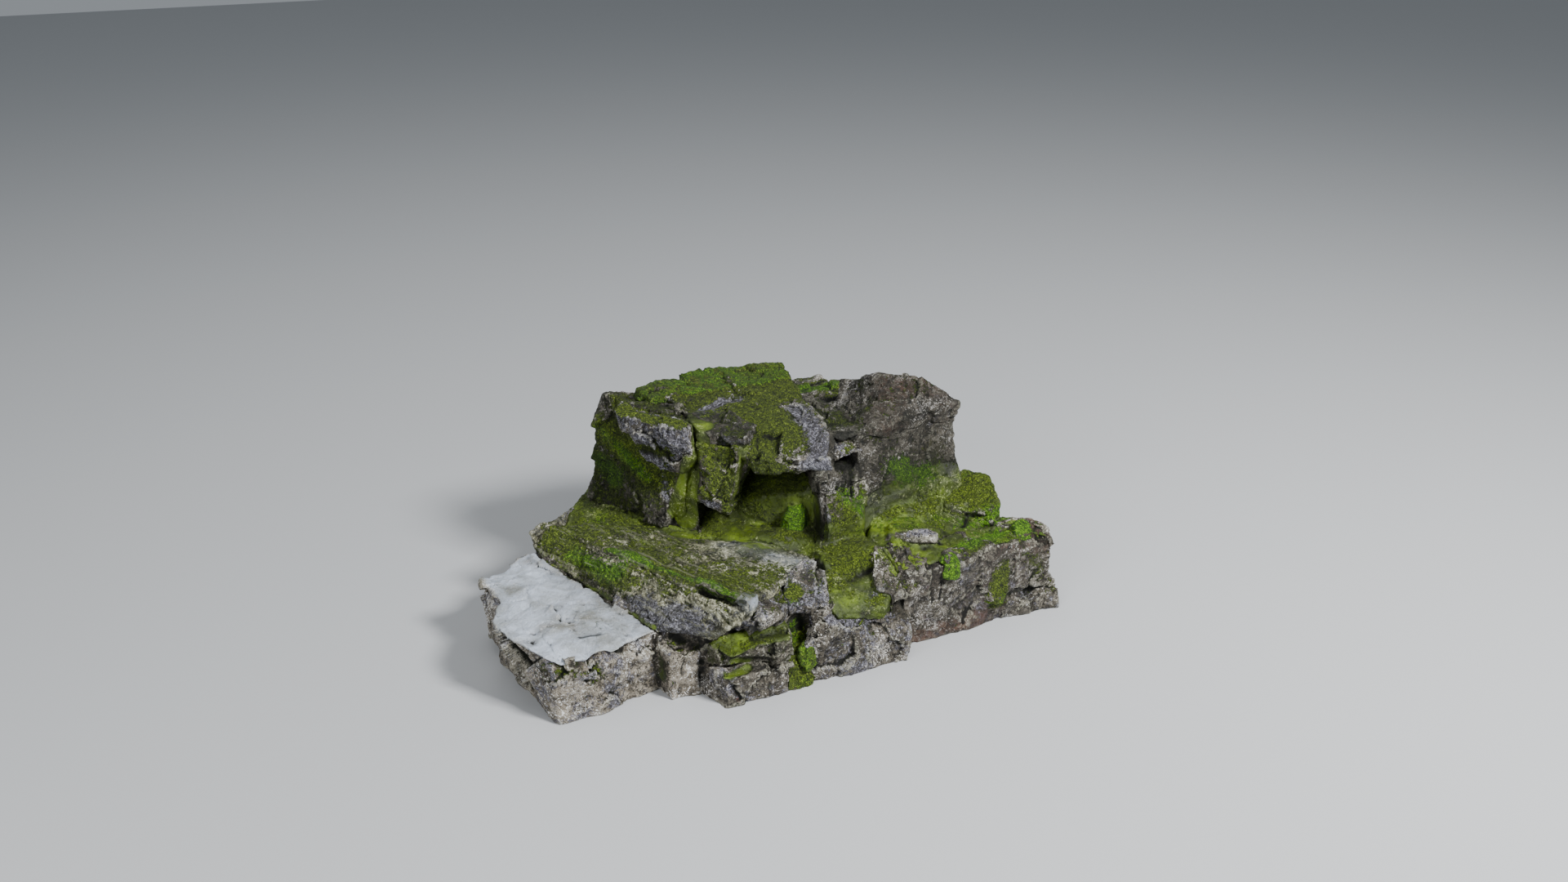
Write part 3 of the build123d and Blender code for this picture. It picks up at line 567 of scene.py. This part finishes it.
def growth_and_shade(plan, points, up, field):
    """How much of each growth, and of painted shade, every point carries, 0 to 1, with more moss
    and film on upward faces and edges that follow the noise fields."""
    masks = {name: np.full(len(points), plan[name]) for name in MASKS}
    masks["moss"] += plan["up"] * np.clip(up, -0.5, 1) + 1.5 * field["patch"]
    masks["lichen"] += 1.5 * field["blotch"] + 0.4 * field["lump"]
    masks["slick"] = masks["slick"] * (1 + 0.5 * up) + field["lump"] * (plan["slick"] > 0)
    masks["rust"] += 1.2 * field["lump"]
    masks["calm"] *= ramp(up + 1.5 * field["blotch"], *FACING_UP)
    masks["lichen"] -= 0.5 * masks["calm"]
    masks["fresh"] += 1.2 * field["lump"]
    for where, start, end, *changes in PAINTS:
        for name, reach, amount in changes:
            masks[name] += amount * near(points, at(where, start), at(where, end), reach)
    return {name: np.clip(values, 0, 1) for name, values in masks.items()}


def crags(noise):
    """Noise folded into sharp ridges with hollows between them."""
    return CREST - CREASE * np.abs(noise)


def coarse_depth(mesh, plan, points, field, masks, bare, moss):
    """How far each point moves out (minus: in), in metres, for all but the finest shapes."""
    depth = 2 * MM * plan["lump"] * field["lump"]
    seen = BLOCK_LEFT + (1 - BLOCK_LEFT) * bare
    depth = depth + MM * plan["block"] * crags(field["block"]) * seen
    depth += MM * plan["knob"] * crags(field["knob"]) * bare
    for layer in LAYERS:
        depth += plan[layer] * (np.abs(np.sin(field[layer] * BEDS)) - BED_MEAN) * MM * bare
    for name, step in CELL_STEPS.items():
        depth += facets(mesh, points, name, plan[name], step * plan[name]) * bare
    cracked = ramp(field["blotch"], 0.0, 0.1) * (1 - ramp(read(mesh, "crack"), 0.0, CRACK_WIDTH))
    veined = 1 - ramp(np.abs(field["blotch"]), 0.0, VEIN_WIDTH)
    cuts = (plan["crack"] * cracked + plan["vein"] * veined) * bare * (1 - moss)
    depth -= cuts * (1 - masks["calm"]) * MM
    depth *= FOOT_DEPTH + (1 - FOOT_DEPTH) * ramp(points[:, 2] / MM, 0, FOOTING)
    for where, start, end, reach, amount in SHAPES:
        depth += amount * MM * near(points, at(where, start), at(where, end), reach)
    return depth


def carve(piece, plan):
    """Moves a skin's vertices out or in along their normals, then stores its paint masks."""
    mesh = piece.data
    points, normals, held = onto_fused(mesh, read(mesh, "co", 3), read(mesh, "normal", 3), plan)
    smoother = Smoother(mesh)
    field = {name: read(mesh, name) - 0.5 for name in (*NOISES, *LAYERS)}
    masks = growth_and_shade(plan, points, normals[:, 2], field)
    bare = 1 - FILM_SMOOTHS * ramp(masks["slick"], *GROWN)
    bare = bare * (1 - CALM_SMOOTHS * masks["calm"])
    moss = ramp(masks["moss"], *GROWN)

    depth = coarse_depth(mesh, plan, points, field, masks, bare, moss)
    moved = settle(mesh, points + normals * depth[:, None])

    tufts = TUFT_MIDDLE - read(mesh, "clump")
    fine = 2 * plan["grit"] * field["grit"] * bare * (1 - MOSS_SMOOTHS * moss)
    fine = fine + moss * (MOSS_HEIGHT + TUFT_HEIGHT * tufts)
    moved = settle(mesh, moved + read(mesh, "normal", 3) * fine[:, None] * MM)

    # rim: how far each point stands out, for the pale painted highlight with edge wear; hollow: how
    # deep it lies, for painted shade in hollows and more moss
    for name, times in (("rim", RIM_BLUR), ("hollow", HOLLOW_BLUR)):
        blurred = np.stack([smoother.blur(moved[:, k], times) for k in range(3)], axis=1)
        masks[name] = ((blurred - moved) * read(mesh, "normal", 3)).sum(1) / MM
    masks["rim"] = np.clip(-masks["rim"], 0, 1) * (1 - held)
    for name in [a.name for a in mesh.attributes if a.name in FIELDS]:
        mesh.attributes.remove(mesh.attributes[name])
    for name, values in masks.items():
        kept = mesh.attributes.new(name, "FLOAT", "POINT")
        kept.data.foreach_set("value", values.astype(np.float32))
    mesh.shade_smooth()


def settle(mesh, points):
    """Writes the points to the mesh, none of them under the surface it stands on."""
    points[:, 2] = np.maximum(points[:, 2], 0)
    mesh.vertices.foreach_set("co", points.astype(np.float32).ravel())
    mesh.update()
    return points


# --- Materials --------------------------------------------------------------
def colour(hexed):
    """Linear RGBA of an sRGB colour written as six hex digits."""
    parts = [int(hexed[k:k + 2], 16) / 255 for k in (0, 2, 4)]
    return [*[(p / 12.92 if p <= 0.04045 else ((p + 0.055) / 1.055) ** 2.4) for p in parts], 1.0]


class Paint(Nodes):
    """Nodes of one shader, with the few patterns that the paints share."""

    def __init__(self, material):
        super().__init__(material.node_tree)
        self.place = self.add("ShaderNodeTexCoord").outputs["Object"]

    def noise(self, name):
        """The noise that PATTERNS holds under this name."""
        size, detail, roughness, seed, twist = PATTERNS[name]
        return self.add("ShaderNodeTexNoise", {"Vector": self.place, "Scale": 1 / (size * MM),
                        "W": seed, "Detail": detail, "Roughness": roughness,
                        "Distortion": twist}, noise_dimensions="4D").outputs["Fac"]

    def cells(self, size):
        return self.add("ShaderNodeTexVoronoi", {"Vector": self.place, "Scale": 1 / (size * MM)},
                        feature="F1").outputs["Distance"]

    def mask(self, name):
        """A mask that carve has stored on the mesh."""
        return self.add("ShaderNodeAttribute", attribute_name=name).outputs["Fac"]

    def span(self, value, low, high, start=0.0, end=1.0):
        """Goes smoothly from start to end as value goes from low to high."""
        return self.add("ShaderNodeMapRange", {"Value": value, "From Min": low, "From Max": high,
                        "To Min": start, "To Max": end}, interpolation_type="SMOOTHSTEP").outputs[0]

    def bands(self, value, *stops):
        """A colour ramp; stops are (place, colour as hex digits)."""
        node = self.add("ShaderNodeValToRGB", {"Fac": value})
        for k, (where, hexed) in enumerate(stops):
            stop = node.color_ramp.elements[k] if k < 2 else node.color_ramp.elements.new(where)
            stop.position = where
            stop.color = colour(hexed)
        return node.outputs["Color"]

    def mix(self, share, a, b, blend="MIX"):
        return self.add("ShaderNodeMix", {"Factor": share, 6: a, 7: b}, data_type="RGBA",
                        blend_type=blend).outputs[2]

    def tint(self, surface, hexed, value, low, high, most):
        """Mixes a colour in, by most at the most, as value goes from low to high."""
        return self.mix(self.span(value, low, high, 0.0, most), surface, colour(hexed))


PAINT_COLOURS = {    # stone: dark, middle, light, flecks
    "rock": ("15120c", "4a4439", "7d776b", "e4e0da"),
    "pale": ("231f18", "726a5c", "a39b8c", "f2f2f0"),
    "ramp": ("1b1c12", "69684d", "b5b394", "efefdc"),
    "moss": ("0c0e04", "2f301a", "5c5e40", "b9bb9c"),
}
PATTERNS = {    # name: (size in mm, detail, roughness, seed, twist)
    "mottle": (7, 7, 0.72, 1.0, 0.8),
    "grain": (1.7, 4, 0.7, 2.0, 1.6),
    "cluster": (15, 3, 0.6, 11.0, 0.0),
    "blotch": (10, 5, 0.65, 9.0, 0.7),
    "calm": (26, 5, 0.6, 12.0, 0.5),
    "ragged": (3.2, 5, 0.75, 3.0, 0.8),
    "lichen": (2.4, 6, 0.8, 5.0, 2.0),
    "rust": (5, 5, 0.7, 6.0, 0.0),
    "slick": (14, 6, 0.6, 7.0, 0.6),
    "blades": (1.3, 5, 0.8, 8.0, 1.4),
    "acrylic": (1.5, 3, 0.6, 0.0, 0.0),
    "scratches": (0.4, 2, 0.6, 0.0, 0.0),
}
STRAND_SIZES = (45, 2.4, 2.4)       # mm
TUFT_SIZE = 1.2                     # mm
STONE_STOPS = (0.39, 0.48, 0.59)
BANDS = {    # name: (place on the noise, colour) for each stop
    "calm": ((0.38, "85867e"), (0.49, "aab1b8"), (0.6, "c8d2e0")),
    "lichen": ((0.40, "141217"), (0.50, "4d4b53"), (0.59, "a3a3b0"), (0.68, "f4f5ff")),
    "rust": ((0.4, "20120c"), (0.6, "6d4c3c")),
    "slick": ((0.36, "1a2300"), (0.5, "394800"), (0.64, "5e7400")),
    "olive": ((0.36, "050800"), (0.47, "2a3600"), (0.57, "6a8000"), (0.7, "c8d870")),
    "fresh": ((0.36, "081000"), (0.47, "2e5000"), (0.58, "70a800"), (0.72, "d8f060")),
    "acrylic": ((0.3, "b8bcbc"), (0.7, "dfe3e3")),
}
CALM_FLECK, CALM_SPECK = "f1f4f6", "63615a"
SLICK_FLECK, SLICK_SPECK = "b4bb7c", "101600"
STRAND_LIGHT, STRAND_DARK = "8f9078", "12140a"
# Painted shade for hollows and for the shade mask, and a pale painted highlight with edge wear for
# bare rims
HOLLOW_SHADE, SHADE_DARK, RIM_HIGHLIGHT_AND_WEAR = "070903", "080a02", "b9b8a4"
DRY_ROUGHNESS, FILM_ROUGHNESS = 0.65, 0.55
PAINT_SPECULAR = 0.4
PAINT_RELIEF = 1.4                  # mm
ROD_ROUGHNESS = 0.35
ROD_RELIEF = 0.05                   # mm


def new_material(name):
    """A material with nodes, and its shader."""
    material = bpy.data.materials.new(name)
    material.use_nodes = True
    return material, material.node_tree.nodes["Principled BSDF"]


def casting_paint(name):
    """Painted resin rock: mottled stone with flecks, lichen, an olive film and flocked moss."""
    material, shader = new_material(name + "_paint")
    p = Paint(material)
    dark, middle, light, fleck = PAINT_COLOURS[name]
    hollow = p.mask("hollow")

    # stone, and the calm stone of the slab
    mottle = p.noise("mottle")
    stone = p.bands(mottle, *zip(STONE_STOPS, (dark, middle, light)))
    grain = p.noise("grain")
    cluster = p.math("MULTIPLY_ADD", p.noise("cluster"), 0.55, -0.275)
    spots = p.math("ADD", grain, cluster)
    stone = p.tint(stone, fleck, spots, 0.57, 0.65, 0.9)
    stone = p.tint(stone, dark, spots, 0.47, 0.39, 0.9)
    blotch = p.noise("blotch")
    stone = p.tint(stone, dark, blotch, 0.52, 0.64, 0.6)
    stone = p.tint(stone, light, blotch, 0.44, 0.34, 0.4)
    calm = p.bands(p.noise("calm"), *BANDS["calm"])
    calm = p.tint(calm, CALM_FLECK, grain, 0.58, 0.68, 0.45)
    calm = p.tint(calm, CALM_SPECK, grain, 0.38, 0.28, 0.6)
    stone = p.mix(p.mask("calm"), stone, calm)

    # lichen and rust, with edges broken up by ragged
    ragged = p.math("MULTIPLY_ADD", p.noise("ragged"), 2.0, -1.0)
    lichen_here = p.span(p.math("ADD", p.mask("lichen"), ragged), 0.45, 0.6)
    lichen = p.bands(p.noise("lichen"), *BANDS["lichen"])
    surface = p.mix(p.math("MULTIPLY", lichen_here, 0.9), stone, lichen)
    rust_here = p.span(p.math("ADD", p.mask("rust"), ragged), 0.4, 0.9, 0.0, 0.65)
    rust = p.bands(p.noise("rust"), *BANDS["rust"])
    surface = p.mix(rust_here, surface, rust)

    # olive film
    film = p.math("ADD", p.mask("slick"), p.math("MULTIPLY", ragged, 0.35))
    slick_here = p.span(film, 0.35, 0.6, 0.0, 0.94)
    slick = p.bands(p.noise("slick"), *BANDS["slick"])
    slick = p.tint(slick, SLICK_FLECK, spots, 0.58, 0.66, 0.45)
    slick = p.tint(slick, SLICK_SPECK, grain, 0.42, 0.3, 0.6)
    surface = p.mix(slick_here, surface, slick)

    # moss, olive or fresh
    cover = p.math("ADD", p.math("ADD", p.mask("moss"), ragged), p.math("MULTIPLY", hollow, 0.25))
    moss_here = p.span(cover, 0.42, 0.56)
    blades = p.noise("blades")
    olive = p.bands(blades, *BANDS["olive"])
    fresh = p.bands(blades, *BANDS["fresh"])
    freshness = p.math("ADD", p.mask("fresh"), p.math("MULTIPLY", ragged, 0.6))
    fresh_here = p.span(freshness, 0.3, 0.7)
    surface = p.mix(moss_here, surface, p.mix(fresh_here, olive, fresh))

    if name == "ramp":    # pale and dark strands along the ramp
        strand = stretched(p, p.place, RAMP_GRAIN, 0.0, STRAND_SIZES)
        strand = p.add("ShaderNodeTexNoise", {"Vector": strand, "Scale": 1.0, "Detail": 5,
                       "Roughness": 0.7, "Distortion": 0.4}).outputs["Fac"]
        surface = p.tint(surface, STRAND_LIGHT, strand, 0.54, 0.64, 0.6)
        surface = p.tint(surface, STRAND_DARK, strand, 0.45, 0.36, 0.6)
        mottle = p.math("ADD", mottle, strand)

    # painted shade in hollows, a pale painted highlight with edge wear on bare rims, and painted
    # shade where the shade mask lies
    surface = p.tint(surface, HOLLOW_SHADE, hollow, 0.05, 0.7, 0.94)
    bare = p.math("SUBTRACT", 1.0, p.math("MAXIMUM", slick_here, moss_here))
    rim_highlight_and_wear = p.math("MULTIPLY", p.span(p.mask("rim"), 0.10, 0.32, 0.0, 0.45), bare)
    rim_highlight_and_wear = p.math("MULTIPLY", rim_highlight_and_wear, p.span(grain, 0.4, 0.55))
    surface = p.mix(rim_highlight_and_wear, surface, colour(RIM_HIGHLIGHT_AND_WEAR), "SCREEN")
    surface = p.mix(p.math("MULTIPLY", p.mask("shade"), 0.93), surface, colour(SHADE_DARK))
    p.feed(shader.inputs["Base Color"], surface)

    p.feed(shader.inputs["Roughness"],
           p.span(slick_here, 0.0, 1.0, DRY_ROUGHNESS, FILM_ROUGHNESS))
    shader.inputs["Specular IOR Level"].default_value = PAINT_SPECULAR

    # fine relief: grainy rock, smoother under the film, and moss
    rock_height = p.math("ADD", grain, p.math("MULTIPLY", mottle, 2.4))
    rock_height = p.math("MULTIPLY", rock_height, p.span(slick_here, 0.0, 1.0, 1.0, 0.3))
    tufts = p.math("MULTIPLY", p.cells(TUFT_SIZE), -0.8)
    moss_height = p.math("ADD", tufts, p.math("MULTIPLY", blades, 2.2))
    height = p.add("ShaderNodeMix", {"Factor": moss_here, 2: rock_height, 3: moss_height})
    bump = p.add("ShaderNodeBump", {"Height": height.outputs[0],
                                    "Distance": PAINT_RELIEF * MM, "Strength": 1.0})
    p.feed(shader.inputs["Normal"], bump.outputs[0])
    return material


MATERIALS = {name: casting_paint(name) for name in PAINT_COLOURS}


def acrylic():
    """Clear-grey acrylic rod with a finely marked surface."""
    material, shader = new_material("acrylic_rod")
    p = Paint(material)
    p.feed(shader.inputs["Base Color"], p.bands(p.noise("acrylic"), *BANDS["acrylic"]))
    shader.inputs["Roughness"].default_value = ROD_ROUGHNESS
    bump = p.add("ShaderNodeBump", {"Height": p.noise("scratches"), "Distance": ROD_RELIEF * MM})
    p.feed(shader.inputs["Normal"], bump.outputs[0])
    return material


# --- The object ---------------------------------------------------------------
COARSER = 1.0      # wider faces while working
fused = fused_skin()
bpy.context.view_layer.update()
FIELD_GROUP = field_group(fused)
for node, plan in CASTINGS.items():
    casting = skin(node, plan["voxel"] * COARSER, plan["rounding"])
    carve(casting, plan)
    casting.data.materials.append(MATERIALS[plan["paint"]])
    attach(casting, "root")
    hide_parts(node)
bpy.data.objects.remove(fused)
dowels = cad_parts["locating_dowels"]
dowels.data.materials.clear()
dowels.data.materials.append(acrylic())


# --- Stage, light and camera ----------------------------------------------------
FLOOR_HALF = 3.0
FLOOR_COLOUR, FLOOR_ROUGHNESS = (0.42, 0.43, 0.44, 1), 0.9
SKY_COLOUR, SKY_STRENGTH = (0.86, 0.93, 1.0, 1), 0.3
SOFTBOXES = {    # name: (place, what it points at, width in metres, power in watts)
    "key": ((0.45, -0.78, 0.85), (0, 0, 0.05), 0.25, 28),
    "fill": ((-0.85, -0.6, 0.5), (0, 0, 0.05), 0.6, 7),
    "top": ((-0.1, 0.3, 1.2), (0, 0, 0), 0.8, 4),
}
# Fitted to the photo; the azimuth is from the front towards +X, the elevation from the floor.
CAMERA_PLACE = (-0.28124, -0.62309, 0.39814)
CAMERA_AZIMUTH, CAMERA_ELEVATION = math.radians(-26), math.radians(24)
CAMERA_LENS, CAMERA_SENSOR = 32.12, 36.0      # mm


def plain_floor():
    """A pale floor much larger than the object."""
    mesh = bpy.data.meshes.new("floor")
    corners = [(x * FLOOR_HALF, y * FLOOR_HALF, 0) for x, y in ((-1, -1), (1, -1), (1, 1), (-1, 1))]
    mesh.from_pydata(corners, [], [(0, 1, 2, 3)])
    floor = bpy.data.objects.new("floor", mesh)
    bpy.context.scene.collection.objects.link(floor)
    material, shader = new_material("floor_paint")
    shader.inputs["Base Color"].default_value = FLOOR_COLOUR
    shader.inputs["Roughness"].default_value = FLOOR_ROUGHNESS
    mesh.materials.append(material)


def softbox(name, place, target, size, power):
    """A square studio light that points at target."""
    light = bpy.data.lights.new(name, "AREA")
    light.size = size
    light.energy = power
    lamp = bpy.data.objects.new(name, light)
    lamp.location = place
    lamp.rotation_euler = (Vector(target) - Vector(place)).to_track_quat("-Z", "Y").to_euler()
    bpy.context.scene.collection.objects.link(lamp)


def surroundings():
    """Even, faint light from all round."""
    world = bpy.data.worlds.new("studio")
    world.use_nodes = True
    background = world.node_tree.nodes["Background"]
    background.inputs["Color"].default_value = SKY_COLOUR
    background.inputs["Strength"].default_value = SKY_STRENGTH
    bpy.context.scene.world = world


def camera():
    """A camera where the photo's was."""
    level = math.cos(CAMERA_ELEVATION)
    back = Vector((math.sin(CAMERA_AZIMUTH) * level, -math.cos(CAMERA_AZIMUTH) * level,
                   math.sin(CAMERA_ELEVATION)))
    lens = bpy.data.cameras.new("camera")
    lens.lens = CAMERA_LENS
    lens.sensor_width = CAMERA_SENSOR
    viewer = bpy.data.objects.new("camera", lens)
    viewer.location = CAMERA_PLACE
    viewer.rotation_euler = (-back).to_track_quat("-Z", "Y").to_euler()
    bpy.context.scene.collection.objects.link(viewer)
    bpy.context.scene.camera = viewer


plain_floor()
for name, settings in SOFTBOXES.items():
    softbox(name, *settings)
surroundings()
camera()
